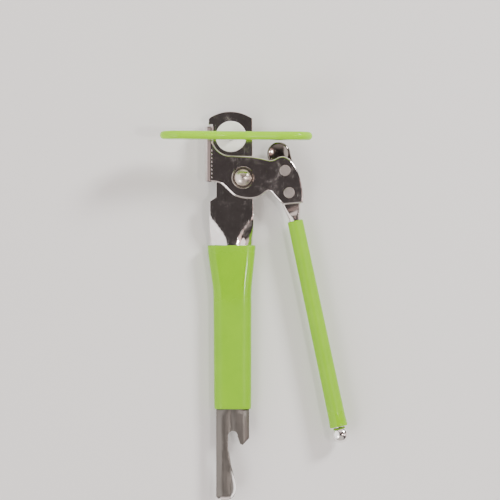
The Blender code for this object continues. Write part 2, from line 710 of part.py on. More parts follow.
def short_place(x, y, h):
    """Put a flat point of the short lever's plate on its bent surface, h off the middle."""
    first, first_length, wall, second, second_length = bend_lengths()
    along = BEND_LINE - x
    if along <= 0.0:
        return Vector((x, y, SHORT_MIDDLE + h))
    bend_z = SHORT_FRONT - FLANGE_BEND
    if along < first_length:
        a = along / first
        return Vector((BEND_LINE - (first + h) * math.sin(a), y, bend_z + (first + h) * math.cos(a)))
    along -= first_length
    if along < wall:
        return Vector((BEND_LINE - first - h, y, bend_z - along))
    along -= wall
    centre_x = BEND_LINE - first + second
    if along < second_length:
        a = along / second
        return Vector((centre_x - (second + h) * math.cos(a), y, bend_z - wall - (second + h) * math.sin(a)))
    along -= second_length
    return Vector((centre_x + along, y, bend_z - wall - second - h))


def flange_columns():
    """Flat x positions across the flange, from the bend line to the return lip's edge."""
    _, first_length, wall, _, second_length = bend_lengths()
    steps = spread(0.0, first_length, 7) + spread(first_length, first_length + wall, 3)[1:]
    steps += spread(first_length + wall, first_length + wall + second_length, 5)[1:]
    steps.append(steps[-1] + RETURN_LIP)
    return [BEND_LINE - step for step in steps]


def short_outline():
    """The short lever's plate in the flat, counter-clockwise, and its bend creases."""
    columns = flange_columns()
    meet_angle = math.degrees(math.asin((FEED_X - FLANGE_RIGHT) / COVE_RADIUS))
    cove = arc((FEED_X, FEED_Y), COVE_RADIUS, 270.0 - meet_angle, 270.0, 9)
    foot = [Vector((x, FLANGE_BOTTOM)) for x in reversed(columns)]
    head = [Vector((x, FLANGE_TOP)) for x in columns]
    points = foot + curve_through([Vector(p) * MM for p in PLATE_LOWER_EDGE], 2)
    points += curve_through([Vector(p) * MM for p in PLATE_UPPER_EDGE], 2)
    points += list(reversed(cove))
    points += [Vector((FLANGE_RIGHT, FLANGE_TOP))]
    first_head = len(points)
    points += head
    last = len(foot) - 1
    creases = [(last - i, first_head + i) for i in range(len(columns) - 1)]
    return points, creases


def make_front_plate():
    """The short lever's plate with its flange, return lip and rivet holes."""
    outline, creases = short_outline()
    profile = edge_profile(SHORT_PLATE, SHORT_EDGE_ROUND, SHORT_BACK_ROUND, 3)
    holes = [arc((0.0, 0.0), PIVOT_RADIUS + BORE_GAP, 0.0, 348.75, 32)]
    for centre in HANDLE_RIVETS:
        holes.append(arc(centre, HANDLE_RIVET_RADIUS + BORE_GAP, 0.0, 345.0, 24))
    plate = sheet("front_plate", outline, short_place, profile, holes, (), creases)
    for y in BLADE_RIVET_YS:
        carve(plate, turned("bore", sunk_profile(BORE_GAP), (BLADE_RIVET_X, y), 16))
    return dress(plate, steel("mirror_plate", (0.64, 0.61, 0.60), 0.08))


def sunk_profile(grow):
    """A flush rivet, countersunk in the blade and in the lip, grown by a clearance for its hole."""
    end = 0.0 if grow == 0.0 else 0.5 * MM
    head = BLADE_RIVET_HEAD + grow
    shank = BLADE_RIVET_RADIUS + grow
    profile = [(head, LIP_BACK - end), (head, LIP_BACK), (shank, LIP_BACK + BLADE_RIVET_SINK)]
    profile += [(shank, BLADE_FRONT - BLADE_RIVET_SINK), (head, BLADE_FRONT), (head, BLADE_FRONT + end)]
    if end == 0.0:
        profile = profile[1:-1]
    return profile


def blade_place(x, y, h):
    """Put a flat point of the blade in place, ground thin towards its edge on the back."""
    away = min((Vector((x, y)) - point).length for point in BLADE_LINE)
    full = BLADE_EDGE + (BLADE_THICK - BLADE_EDGE) * min(away / BLADE_GRIND, 1.0)
    return Vector((x, y, BLADE_FRONT + (h / BLADE_THICK - 0.5) * full))


def make_blade():
    """The fixed blade and its two flush rivets."""
    outline = [Vector((BLADE_LEFT, BLADE_TOP)), Vector((BLADE_LEFT, BLADE_BOTTOM))]
    outline += [Vector((BLADE_SHANK_RIGHT, BLADE_BOTTOM))]
    outline += [Vector((BLADE_SHANK_RIGHT, BLADE_RIVET_YS[1] + 1.6 * MM))]
    outline += BLADE_LINE
    outline += [Vector((BLADE_SHANK_RIGHT, BLADE_TOP + 0.2 * MM))]
    grind = [point + Vector((-BLADE_GRIND * BLADE_GRIND_SHARE, 0.0)) for point in BLADE_LINE]
    profile = [(0.0, BLADE_THICK / 2), (0.0, -BLADE_THICK / 2)]
    blade = sheet("cutter_blade", outline, blade_place, profile, (), grind)
    colour = steel("ground_blade", (0.50, 0.50, 0.51), 0.3)
    for name, y in zip(("blade_rivet_lower", "blade_rivet_upper"), BLADE_RIVET_YS):
        carve(blade, turned("bore", sunk_profile(BORE_GAP), (BLADE_RIVET_X, y), 16))
        rivet = turned(name, sunk_profile(0.0), (BLADE_RIVET_X, y), 16)
        dress(rivet, steel("blade_rivet_steel", (0.60, 0.60, 0.58), 0.25))
    return dress(blade, colour)


# Short handle

def handle_stations():
    """(centre, width, depth) stations down the tube from its dished upper end to its open lower end."""
    eye = Vector(EYE_CENTRE)
    upper = Vector(HANDLE_RIVETS[0])
    lower = Vector(HANDLE_RIVETS[1])
    start = Vector(SHORT_GRIP_START)
    axis = HANDLE_DIRECTION.to_2d()
    toward = (upper - eye).normalized()
    stations = []
    for a in spread(math.radians(8.0), math.radians(110.0), 9):
        width = 2 * EYE_RADIUS * math.sin(a)
        stations.append((eye - toward * EYE_RADIUS * math.cos(a), width, FLAT_THICK))
    stations.append((upper, FLAT_WIDTH, FLAT_THICK))
    stations.append((lower, FLAT_WIDTH, FLAT_THICK))
    for share, narrowing, swelling in NECK_SHAPE:
        width = FLAT_WIDTH + (2 * TUBE_RADIUS - FLAT_WIDTH) * narrowing
        depth = FLAT_THICK + (2 * TUBE_RADIUS - FLAT_THICK) * swelling
        stations.append((start - axis * NECK_LENGTH * (1.0 - share), width, depth))
    stations.append((start + axis * 1.0 * MM, 2 * TUBE_RADIUS, 2 * TUBE_RADIUS))
    stations.append((start + axis * SHORT_GRIP_LENGTH, 2 * TUBE_RADIUS, 2 * TUBE_RADIUS))
    return stations


def station_ring(centre, along, width, depth, count=24):
    """A ring across the handle: a rounded slab where it is wide, a circle where width equals depth."""
    side = Vector((-along.y, along.x, 0.0))
    middle = Vector((centre.x, centre.y, HANDLE_MIDDLE))
    corner = min(width, depth) / 2
    flat = max(width / 2 - corner, 0.0)
    drop = max(depth / 2 - corner, 0.0)
    ring = []
    for i in range(count):
        a = math.tau * (i + 0.5) / count
        x = corner * math.cos(a) + math.copysign(flat, math.cos(a))
        z = corner * math.sin(a) + math.copysign(drop, math.sin(a))
        ring.append(middle + side * x + Vector((0.0, 0.0, z)))
    return ring


def make_short_tube():
    """The steel tube, flattened and dished at the top, bored from its open lower end."""
    stations = handle_stations()
    sections = []
    for i, (centre, width, depth) in enumerate(stations):
        before = stations[max(i - 1, 0)][0]
        after = stations[min(i + 1, len(stations) - 1)][0]
        sections.append(station_ring(centre, (after - before).normalized(), width, depth))
    bore = 2 * (TUBE_RADIUS - TUBE_WALL)
    axis = HANDLE_DIRECTION.to_2d()
    end = stations[-1][0]
    sections.append(station_ring(end, axis, bore, bore))
    sections.append(station_ring(Vector(SHORT_GRIP_START) + axis * 4.0 * MM, axis, bore, bore))
    tube = loft("short_handle_tube", sections)
    dish_radius = EYE_RADIUS - EYE_RIM
    ball = (dish_radius ** 2 + EYE_DISH ** 2) / (2 * EYE_DISH)
    rise = ball - EYE_DISH
    cup = [(0.2 * MM, HANDLE_FRONT - EYE_DISH)]
    for a in spread(8.0, 90.0, 8):
        radius = dish_radius * math.sin(math.radians(a))
        cup.append((radius, cup_height(radius, ball, rise)))
    cup.append((dish_radius + 0.4 * MM, HANDLE_FRONT + 0.4 * MM))
    cup.append((0.2 * MM, HANDLE_FRONT + 0.4 * MM))
    carve(tube, turned("cup", cup, EYE_CENTRE, 32))
    for centre in HANDLE_RIVETS:
        low = HANDLE_FRONT - FLAT_THICK - 1.0 * MM
        hole = HANDLE_RIVET_RADIUS + BORE_GAP
        carve(tube, turned("bore", [(hole, low), (hole, HANDLE_FRONT + 1.0 * MM)], centre, 24))
    return dress(tube, steel("tube_steel", (0.60, 0.58, 0.55), 0.15))


def cup_height(radius, ball, rise):
    """Height of the dish's floor at a radius."""
    return HANDLE_FRONT + rise - math.sqrt(max(ball * ball - radius * radius, 0.0))


def make_handle_rivets():
    """The two flat-headed rivets through plate and tube."""
    back = HANDLE_FRONT - FLAT_THICK - FACE_GAP
    front = SHORT_FRONT + FACE_GAP
    head = HANDLE_RIVET_HEAD
    profile = [(head - 0.5 * MM, back - HANDLE_RIVET_HEIGHT), (head - 0.1 * MM, back - 0.25 * MM)]
    profile += [(head - 0.1 * MM, back), (HANDLE_RIVET_RADIUS, back), (HANDLE_RIVET_RADIUS, front)]
    profile.append((head, front))
    profile += [(head, front + 0.35 * MM), (head - 0.3 * MM, front + HANDLE_RIVET_HEIGHT)]
    for name, centre in zip(("handle_rivet_upper", "handle_rivet_lower"), HANDLE_RIVETS):
        dress(turned(name, profile, centre, 24), steel("handle_rivet_steel", (0.62, 0.58, 0.56), 0.3))


def along_handle(thing):
    """Turn a solid built along +Z from the origin to run down the short handle from its grip's start."""
    turn = Vector((0.0, 0.0, 1.0)).rotation_difference(HANDLE_DIRECTION).to_matrix().to_4x4()
    start = Vector((SHORT_GRIP_START[0], SHORT_GRIP_START[1], HANDLE_MIDDLE))
    return reshape(thing, Matrix.Translation(start) @ turn)


def make_short_grip():
    """The soft sleeve over the tube, flared at its lower end."""
    bore = TUBE_RADIUS + FACE_GAP
    outer = bore + SHORT_GRIP_WALL
    end = SHORT_GRIP_LENGTH
    profile = [(bore, 0.0), (outer - 0.45 * MM, 0.0), (outer, 0.45 * MM)]
    profile.append((outer + 0.3 * MM, end - SHORT_GRIP_FLARE_LENGTH))
    profile.append((outer + 0.45 * MM, end - SHORT_GRIP_FLARE_LENGTH / 2))
    profile.append((outer + SHORT_GRIP_FLARE, end - 0.6 * MM))
    profile += [(outer + SHORT_GRIP_FLARE - 0.3 * MM, end), (bore, end)]
    grip = along_handle(turned("short_handle_grip", profile, closed=True))
    return dress(grip, material("lime_vinyl_round", (0.38, 0.60, 0.04), 0.42, 0.0))


def make_ball():
    """The ball that closes the tube's lower end, with its spigot."""
    tube_end = SHORT_GRIP_LENGTH + FACE_GAP
    spigot = TUBE_RADIUS - TUBE_WALL - BORE_GAP
    seat = TUBE_RADIUS - 0.2 * MM
    centre = tube_end + math.sqrt(BALL_RADIUS ** 2 - seat ** 2)
    spigot_end = tube_end - BALL_SPIGOT_LENGTH
    profile = [(spigot - 0.4 * MM, spigot_end), (spigot, spigot_end + 0.4 * MM), (spigot, tube_end)]
    start = math.asin(seat / BALL_RADIUS)
    for a in spread(start, math.radians(176.0), 13):
        profile.append((BALL_RADIUS * math.sin(a), centre - BALL_RADIUS * math.cos(a)))
    ball = along_handle(turned("ball_end_cap", profile))
    return dress(ball, steel("polished_ball", (0.74, 0.72, 0.70), 0.1))


# Wing and feed

def wing_outline():
    """The coated wing from its flat side, as (across, up) points about the spindle, counter-clockwise."""
    half = WING_SPAN / 2
    low = STALK_TOP + FACE_GAP
    droop = low - WING_DROOP
    top = low + WING_WAIST
    lobe_top = droop + WING_LOBE
    tip = (droop + lobe_top) / 2
    right = [(WING_FOOT, low), (half * 0.36, low - WING_DROOP * 0.5), (half * 0.68, droop)]
    right += [(half * 0.90, droop + 2.2 * MM)]
    right += [(half, tip - 1.5 * MM), (half * 0.985, tip + 3.6 * MM), (half * 0.86, lobe_top - 1.2 * MM)]
    right += [(half * 0.66, lobe_top), (half * 0.36, lobe_top - 2.0 * MM), (half * 0.12, top + 0.4 * MM)]
    curve = curve_through(right, 3)
    mirrored = [Vector((-p.x, p.y)) for p in reversed(curve)]
    shift = Vector((WING_OFFSET, 0.0))
    loop = [p + shift for p in curve + [Vector((0.0, top))] + mirrored]
    return loop + [Vector((-2.0 * MM, low)), Vector((2.0 * MM, low))]


def stand_wing(thing):
    """Stand a solid built flat in XY up on the spindle axis, along the wing's rest direction."""
    place = Matrix.Translation((FEED_X, FEED_Y, 0.0))
    turn = Matrix.Rotation(WING_YAW, 4, "Z") @ Matrix.Rotation(math.radians(90.0), 4, "X")
    return reshape(thing, place @ turn)


def core_outline(grow):
    """The steel blank inside the coating, with its tab, grown by a clearance."""
    body = outset(wing_outline(), -(WING_WALL + FACE_GAP))
    half = WING_TAB_WIDTH / 2
    neck = [Vector((-half, SLOT_BACK + FACE_GAP)), Vector((half, SLOT_BACK + FACE_GAP))]
    lower = [p for p in body[:-2]]
    lower.append(Vector((-half, body[-2].y)))
    lower += neck
    lower.append(Vector((half, body[-1].y)))
    return outset(lower, grow) if grow else lower


def make_wing():
    """The dipped coating over its steel blank, and the cross pin."""
    edge = WING_THICK * WING_EDGE_SHARE
    round_edge = edge_profile(WING_THICK, edge, edge, 4, 4)
    coating = sheet("wing_coating", wing_outline(), flat_place(0.0), round_edge)
    hollow = edge_profile(WING_CORE + 2 * FACE_GAP, 0.0, 0.0)
    cavity = sheet("cavity", core_outline(FACE_GAP), flat_place(0.0), hollow)
    carve(coating, cavity)
    core = sheet("wing_core", core_outline(0.0), flat_place(0.0), edge_profile(WING_CORE, 0.0, 0.0),
                 [arc((0.0, WING_PIN_Z), WING_PIN_RADIUS + BORE_GAP, 0.0, 345.0, 16)])
    pin_end = STALK_RADIUS - 0.1 * MM
    profile = [(WING_PIN_RADIUS, -pin_end), (WING_PIN_RADIUS, pin_end)]
    pin = turned("wing_pin", profile, (0.0, WING_PIN_Z), 16)
    dress(stand_wing(coating), material("lime_dip", (0.40, 0.63, 0.04), 0.38, 0.0))
    dress(stand_wing(core), steel("wing_blank", (0.52, 0.52, 0.50), 0.4))
    dress(stand_wing(pin), steel("pin_steel", (0.60, 0.60, 0.58), 0.3))


def square_ring(side, height, count):
    """A square ring with as many points as the round rings it joins."""
    ring = []
    for i in range(count):
        a = math.tau * i / count
        radius = side / 2 / max(abs(math.cos(a)), abs(math.sin(a)))
        ring.append(Vector((FEED_X + radius * math.cos(a), FEED_Y + radius * math.sin(a), height)))
    return ring


def make_spindle():
    """The spindle: peened end, square for the wheel, journal, and the slotted stalk that holds the wing."""
    count = 32
    centre = (FEED_X, FEED_Y)
    head_front = FEED_BACK - FACE_GAP
    rounds = [(SPINDLE_RADIUS - 0.3 * MM, head_front - SPINDLE_HEAD_HEIGHT)]
    rounds += [(SPINDLE_RADIUS, head_front - 0.4 * MM), (SPINDLE_RADIUS, head_front)]
    sections = [circle(radius, centre, height, count) for radius, height in rounds]
    sections.append(square_ring(SPINDLE_SQUARE, head_front, count))
    sections.append(square_ring(SPINDLE_SQUARE, FEED_WASHER_BACK, count))
    rounds = [(SPINDLE_RADIUS, FEED_WASHER_BACK), (SPINDLE_RADIUS, LONG_FRONT), (STALK_RADIUS, LONG_FRONT)]
    rounds.append((STALK_RADIUS, STALK_TOP - 0.4 * MM))
    rounds.append((STALK_RADIUS - 0.4 * MM, STALK_TOP))
    sections += [circle(radius, centre, height, count) for radius, height in rounds]
    spindle = loft("drive_spindle", sections)
    slot_half = WING_CORE / 2 + BORE_GAP
    low = (-STALK_RADIUS * 2, SLOT_BACK, -slot_half)
    high = (STALK_RADIUS * 2, STALK_TOP + 2.0 * MM, slot_half)
    slot = box("slot", low, high)
    hole = WING_PIN_RADIUS + BORE_GAP
    reach = STALK_RADIUS * 2
    pin_hole = turned("hole", [(hole, -reach), (hole, reach)], (0.0, WING_PIN_Z), 16)
    carve(spindle, stand_wing(slot), stand_wing(pin_hole))
    return dress(spindle, steel("spindle_steel", (0.58, 0.57, 0.55), 0.28))


def make_feed_wheel():
    """The toothed wheel with its square hole."""
    teeth = []
    root = FEED_RADIUS - FEED_TOOTH_DEPTH
    for i in range(FEED_TEETH):
        for share, radius in ((0.0, root), (0.28, root), (0.52, FEED_RADIUS), (0.76, FEED_RADIUS)):
            a = math.tau * (i + share) / FEED_TEETH
            teeth.append(Vector((FEED_X + radius * math.cos(a), FEED_Y + radius * math.sin(a))))
    half = SPINDLE_SQUARE / 2 + BORE_GAP
    corners = ((-half, -half), (half, -half), (half, half), (-half, half))
    hole = [Vector((FEED_X + x, FEED_Y + y)) for x, y in corners]
    middle = (FEED_FRONT + FEED_BACK) / 2
    profile = edge_profile(FEED_THICK, 0.2 * MM, 0.2 * MM, 1, 1)
    wheel = sheet("feed_wheel", teeth, flat_place(middle), profile, [hole])
    return dress(wheel, steel("hardened_wheel", (0.46, 0.45, 0.44), 0.35))


def make_feed_washers():
    """The white nylon washer in front of the head and the steel spacer behind it."""
    centre = (FEED_X, FEED_Y)
    nylon = washer("nylon_washer", centre, STALK_RADIUS + BORE_GAP, NYLON_RADIUS, NYLON_BACK,
                   NYLON_BACK + NYLON_THICK, 0.4 * MM, 48)
    spacer = washer("feed_washer", centre, SPINDLE_RADIUS + BORE_GAP, FEED_WASHER_RADIUS, FEED_WASHER_BACK,
                    FEED_WASHER_BACK + FEED_WASHER_THICK, 0.1 * MM)
    dress(nylon, material("white_nylon", (0.78, 0.77, 0.74), 0.5, 0.0))
    dress(spacer, steel("spacer_steel", (0.55, 0.55, 0.54), 0.35))


# The whole opener

TONGUE_LINE = tongue_edge()
BLADE_LINE = curve_through([(BLADE_SHANK_RIGHT + 0.15 * MM, BLADE_TOP - 5.2 * MM),
                            (BLADE_REACH - 0.9 * MM, FEED_Y - 2.2 * MM),
                            (BLADE_REACH, FEED_Y), (BLADE_REACH - 0.7 * MM, BLADE_TOP - 0.1 * MM)], 3)


def clear_scene():
    """Remove what the file opened with."""
    for thing in list(bpy.data.objects):
        bpy.data.objects.remove(thing, do_unlink=True)


def set_on_axis(names, x, y):
    """Hang pieces under an empty on their joint's axis, without moving them."""
    axle = bpy.data.objects.new("axis_" + names[0], None)
    axle.location = (x, y, 0.0)
    bpy.context.scene.collection.objects.link(axle)
    for name in names:
        thing = bpy.data.objects[name]
        thing.parent = axle
        thing.matrix_parent_inverse = Matrix.Translation((-x, -y, 0.0))


def main():
    clear_scene()
    make_long_lever()
    make_long_grip()
    make_pivot()
    make_feed_washers()
    make_front_plate()
    make_blade()
    make_short_tube()
    make_handle_rivets()
    make_short_grip()
    make_ball()
    make_wing()
    make_spindle()
    make_feed_wheel()
    short_side = ["front_plate", "cutter_blade", "blade_rivet_upper", "blade_rivet_lower"]
    short_side += ["short_handle_tube", "handle_rivet_upper", "handle_rivet_lower"]
    short_side += ["short_handle_grip", "ball_end_cap"]
    set_on_axis(short_side, 0.0, 0.0)
    set_on_axis(["drive_spindle", "wing_core", "wing_coating", "wing_pin", "feed_wheel"], FEED_X, FEED_Y)


main()
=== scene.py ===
"""Winged can opener: finishes, finer pieces, floor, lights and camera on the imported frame. Metres, +Z up."""
import bpy
import bmesh
import math
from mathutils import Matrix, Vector


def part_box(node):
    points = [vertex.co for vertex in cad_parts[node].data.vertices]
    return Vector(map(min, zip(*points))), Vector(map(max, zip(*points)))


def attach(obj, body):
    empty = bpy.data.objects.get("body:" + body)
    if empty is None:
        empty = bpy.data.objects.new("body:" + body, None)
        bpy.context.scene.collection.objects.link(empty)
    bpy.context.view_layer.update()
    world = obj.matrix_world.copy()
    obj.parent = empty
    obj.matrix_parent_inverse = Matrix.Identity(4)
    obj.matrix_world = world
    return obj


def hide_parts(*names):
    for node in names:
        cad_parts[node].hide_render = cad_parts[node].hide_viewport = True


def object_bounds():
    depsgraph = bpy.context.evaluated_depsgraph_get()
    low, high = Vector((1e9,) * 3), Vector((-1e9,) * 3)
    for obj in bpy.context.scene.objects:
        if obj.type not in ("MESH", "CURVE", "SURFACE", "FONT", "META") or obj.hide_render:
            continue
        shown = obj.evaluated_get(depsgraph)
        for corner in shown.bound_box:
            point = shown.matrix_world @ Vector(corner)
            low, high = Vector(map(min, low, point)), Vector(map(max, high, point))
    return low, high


MM = 0.001
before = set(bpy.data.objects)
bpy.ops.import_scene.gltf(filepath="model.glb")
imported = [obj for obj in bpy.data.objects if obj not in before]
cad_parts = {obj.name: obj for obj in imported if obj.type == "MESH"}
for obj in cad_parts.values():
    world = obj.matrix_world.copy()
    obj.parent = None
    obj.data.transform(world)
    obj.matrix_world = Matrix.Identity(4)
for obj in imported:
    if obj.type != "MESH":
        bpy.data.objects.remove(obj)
cad_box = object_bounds()

LONG = "long_side"
SHORT = "short_side"
KEY = "key"

# Front faces of the short lever's plate and of the long lever's strip
PLATE_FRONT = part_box("front_plate")[1].z
STACK_GAP = 0.3 * MM
LONG_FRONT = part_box("nylon_washer")[0].z - STACK_GAP

# Row of beads pressed up beside the plate's flange
CRIMP_COUNT = 8
CRIMP_X = -15.5 * MM
CRIMP_TOP = 13.6 * MM
CRIMP_BOTTOM = 0.2 * MM
CRIMP_WIDTH = 0.45 * MM
CRIMP_LENGTH = 1.3 * MM
CRIMP_SIDES = 16
# Share of the bead's size and height over the plate, from its sunk foot up
CRIMP_RINGS = ((1.0, -0.1 * MM), (1.0, 0.02 * MM), (0.86, 0.05 * MM), (0.62, 0.07 * MM), (0.3, 0.08 * MM))

# Finer meshes: corners that agree to a step are one, facets flatter than FLAT_ANGLE are fused, edges bent by
# more than SHARP_ANGLE stay sharp, and triangles within the two quad angles, in radians, are joined
STEPS_PER_METRE = 2e6
FLAT_ANGLE = math.radians(0.25)
SHARP_ANGLE = math.radians(38.0)
QUAD_CORNERS = 4
QUAD_BEND = 0.7
QUAD_SKEW = 0.9

# Noise textures: scale per metre, detail, roughness, warp
PLATING_CLOUD = (170.0, 4.0, 0.6, 0.4)
PLATING_HAZE = (95.0, 5.0, 0.7, 0.8)
PLATING_SMEAR = (600.0, 3.0, 0.6)
PLATING_SWELL = (120.0, 2.0, 0.45)
SCRATCH_FIELD = (1.0, 2.0, 0.6)
ROLLED_GRAIN = (1.0, 3.0, 0.7)
STEEL_GRAIN = (2400.0, 4.0, 0.65)
STEEL_SMEAR = (500.0, 3.0, 0.6)
VINYL_PATCH = (90.0, 3.0, 0.55)
VINYL_SPECK = (2300.0, 2.0, 0.5)
VINYL_SKIN = (420.0, 4.0, 0.6)
VINYL_PEEL = (900.0, 2.0, 0.5)
VINYL_RUNS = (150.0, 2.0, 0.5)
NYLON_FLOW = (260.0, 3.0, 0.5, 1.2)
NYLON_SMEAR = (700.0, 3.0, 0.5)
NYLON_GRAIN = (1800.0, 3.0, 0.6)
FLOOR_PATCH = (6.0, 2.0, 0.5)
FLOOR_GRAIN = (60.0, 3.0, 0.5)

# Ranges of a noise's value that go from nothing to full
MID_BAND = (0.3, 0.7)
SMEAR_BAND = (0.3, 0.75)
HAZE_BAND = (0.52, 0.72)
SCRATCH_BAND = (0.66, 0.74)
SPECK_BAND = (0.68, 0.76)

# Plating: two sets of scratches (turn in radians, noise across and along them), and what they and the haze
# add to its roughness
SCRATCH_SETS = ((0.35, 5200.0, 130.0), (-0.9, 4300.0, 90.0))
SCRATCH_ROUGH = 0.14
SCRATCH_RELIEF = -0.004 * MM
HAZE_ROUGH = 0.16

# Painted dark reflection on the plating: axis, where it begins, is full, stays full until and ends, and its
# colour
# The flange's bend: painted dark reflection
FLANGE_BEND = ("X", -18.3 * MM, -17.6 * MM, -16.1 * MM, -15.7 * MM, (0.20, 0.16, 0.15))
# The tube's dished end: painted dark reflection
DISHED_END = ("Y", 4.0 * MM, 8.5 * MM, 25.0 * MM, 26.0 * MM, (0.24, 0.21, 0.19))

# Dull rolled tail of the strip: Y range over which it begins, and heights over which its lip is rubbed bright
STRIP_TAIL = (-35.0 * MM, -110.0 * MM)
ROLLED_STRETCH = (2600.0, 60.0, 2600.0)
ROLLED_DARK = (0.125, 0.114, 0.104)
ROLLED_LIGHT = (0.20, 0.185, 0.17)
ROLLED_ROUGH = (0.28, 0.38)
RUBBED_HEIGHTS = (LONG_FRONT + 0.15 * MM, LONG_FRONT + 0.7 * MM)
RUBBED_COLOUR = (0.84, 0.82, 0.80)

STEEL_RELIEF = 0.012 * MM

# Lime vinyl: glossy stretches in Y, the third of them the whole wing, and how softly and how much they shine
GRIP_GLOSS = (-60.0 * MM, -38.0 * MM)
ROUND_GRIP_GLOSS = (-130.0 * MM, -118.0 * MM)
WING_GLOSS = (10.0 * MM, 30.0 * MM)
GLOSS_EDGE = 5.0 * MM
GLOSS_SHINE = 0.27
VINYL_ROUGH = (0.34, 0.44)
SPECK_COLOUR = (0.38, 0.7, 0.01)
SPECK_SHARE = 0.2
PEEL_RELIEF = 0.03 * MM
RUNS_RELIEF = 0.16 * MM
VINYL_SPECULAR = 0.3

NYLON_DARK = (0.90, 0.89, 0.84)
NYLON_LIGHT = (0.96, 0.95, 0.92)
NYLON_ROUGH = (0.38, 0.5)
NYLON_RELIEF = 0.012 * MM

# Light under the surface: weight, share of the depth for red, green and blue, depth
VINYL_DEPTH = (0.05, (0.8, 1.0, 0.1), 0.5 * MM)
NYLON_DEPTH = (0.25, (1.0, 0.95, 0.85), 1.0 * MM)

FLOOR_HALF = 6.0
FLOOR_GAP = 0.2 * MM
FLOOR_DARK = (0.80, 0.80, 0.79)
FLOOR_LIGHT = (0.83, 0.83, 0.82)
FLOOR_ROUGH = (0.75, 0.85)

# World light: direction, degrees of full light, degrees where it is gone, colour. The first is the room's own
# dim light, which comes from nearly everywhere.
PANELS = (((0.0, 0.0, 1.0), 179.0, 180.0, (0.078, 0.067, 0.066)),
          ((0.0, -0.82, 0.57), 30.0, 46.0, (0.66, 0.60, 0.56)),
          ((-0.87, -0.10, 0.48), 43.0, 46.0, (1.95, 1.88, 1.85)),
          ((0.47, -0.08, 0.88), 9.0, 13.0, (1.6, 1.08, 1.0)),
          ((0.79, -0.08, 0.61), 11.0, 14.0, (2.1, 1.8, 1.75)),
          ((0.99, -0.05, 0.14), 12.0, 24.0, (1.0, 0.8, 0.75)),
          ((0.0, 0.86, 0.50), 30.0, 36.0, (1.15, 0.98, 0.95)),
          ((0.02, 0.30, 0.95), 3.0, 8.0, (0.5, 0.34, 0.32)))

# Lamps: name, direction from the opener, width, watts, colour
LAMPS = (("lamp_key", (0.66, 0.52, 0.54), 0.45, 46.0, (1.0, 0.98, 0.96)),
         ("lamp_spot", (0.40, -0.06, 0.91), 0.10, 8.0, (1.0, 0.98, 0.95)),
         ("lamp_fill", (-0.45, -0.55, 0.70), 0.6, 8.0, (1.0, 0.97, 0.95)))
LAMP_AIM = Vector((0.0, -0.02, 0.0))
LAMP_DISTANCE = 2.2

# Camera straight above, the width that the square picture shows at Z = 0, how far the camera sees, and its
# sensor, which like its lens is in millimetres
CAMERA_PLACE = (0.0035, -0.0361, 1.9)
SEEN_WIDTH = 0.25
SEEN_DEPTH = 20.0
SENSOR_WIDTH = 36.0

# Socket numbers: the Mix node's two colours and result, the ends of the Map Range node's input range, and
# how many of its sockets span sets
MIX_FIRST = 6
MIX_SECOND = 7
MIX_RESULT = 2
RANGE_LOW = 1
RANGE_HIGH = 2
RANGE_SOCKETS = 5


# Node helpers

class Finish:
    """A Principled material built from nodes in the object's own metres."""

    def __init__(self, name, metallic=0.0):
        self.made = bpy.data.materials.new(name)
        self.made.use_nodes = True
        self.tree = self.made.node_tree
        self.shader = self.tree.nodes["Principled BSDF"]
        self.shader.inputs["Metallic"].default_value = metallic
        self.place = self.tree.nodes.new("ShaderNodeTexCoord").outputs["Object"]

    def node(self, kind, **settings):
        made = self.tree.nodes.new(kind)
        for key, value in settings.items():
            setattr(made, key, value)
        return made

    def feed(self, socket, value):
        if isinstance(value, bpy.types.NodeSocket):
            self.tree.links.new(value, socket)
        else:
            socket.default_value = value

    def put(self, name, value):
        self.feed(self.shader.inputs[name], value)

    def maths(self, operation, first, second):
        made = self.node("ShaderNodeMath", operation=operation)
        self.feed(made.inputs[0], first)
        self.feed(made.inputs[1], second)
        return made.outputs[0]

    def stretched(self, scale, turn=0.0):
        made = self.node("ShaderNodeMapping")
        self.feed(made.inputs["Vector"], self.place)
        made.inputs["Scale"].default_value = scale
        made.inputs["Rotation"].default_value = (0.0, 0.0, turn)
        return made.outputs[0]

    def noise(self, scale, detail, rough, warp=0.0, vector=None):
        made = self.node("ShaderNodeTexNoise")
        self.feed(made.inputs["Vector"], vector or self.place)
        made.inputs["Scale"].default_value = scale
        made.inputs["Detail"].default_value = detail
        made.inputs["Roughness"].default_value = rough
        made.inputs["Distortion"].default_value = warp
        return made.outputs["Fac"]

    def span(self, value, low, high, to_low=0.0, to_high=1.0):
        made = self.node("ShaderNodeMapRange", clamp=True)
        for socket, number in zip(made.inputs[:RANGE_SOCKETS], (value, low, high, to_low, to_high)):
            self.feed(socket, number)
        return made.outputs[0]

    def blend(self, share, first, second):
        made = self.node("ShaderNodeMix", data_type="RGBA")
        self.feed(made.inputs[0], share)
        for number, side in ((MIX_FIRST, first), (MIX_SECOND, second)):
            self.feed(made.inputs[number], side if isinstance(side, bpy.types.NodeSocket) else (*side, 1.0))
        return made.outputs[MIX_RESULT]

    def axis(self, name):
        made = self.node("ShaderNodeSeparateXYZ")
        self.feed(made.inputs[0], self.place)
        return made.outputs[name]

    def bump(self, height, distance, under=None):
        made = self.node("ShaderNodeBump")
        self.feed(made.inputs["Height"], height)
        made.inputs["Distance"].default_value = distance
        made.inputs["Strength"].default_value = 1.0
        if under is not None:
            self.feed(made.inputs["Normal"], under)
        return made.outputs[0]

    def scratches(self, turn, across, along):
        """Thin straight scratches in one direction, 0 or 1 with soft edges."""
        field = self.noise(*SCRATCH_FIELD, vector=self.stretched((across, along, across), turn))
        return self.span(field, *SCRATCH_BAND)

    def lit_within(self, weight, shares, depth):
        """Light that goes in at the surface and comes out close by."""
        self.shader.inputs["Subsurface Weight"].default_value = weight
        self.shader.inputs["Subsurface Radius"].default_value = shares
        self.shader.inputs["Subsurface Scale"].default_value = depth


# Finishes

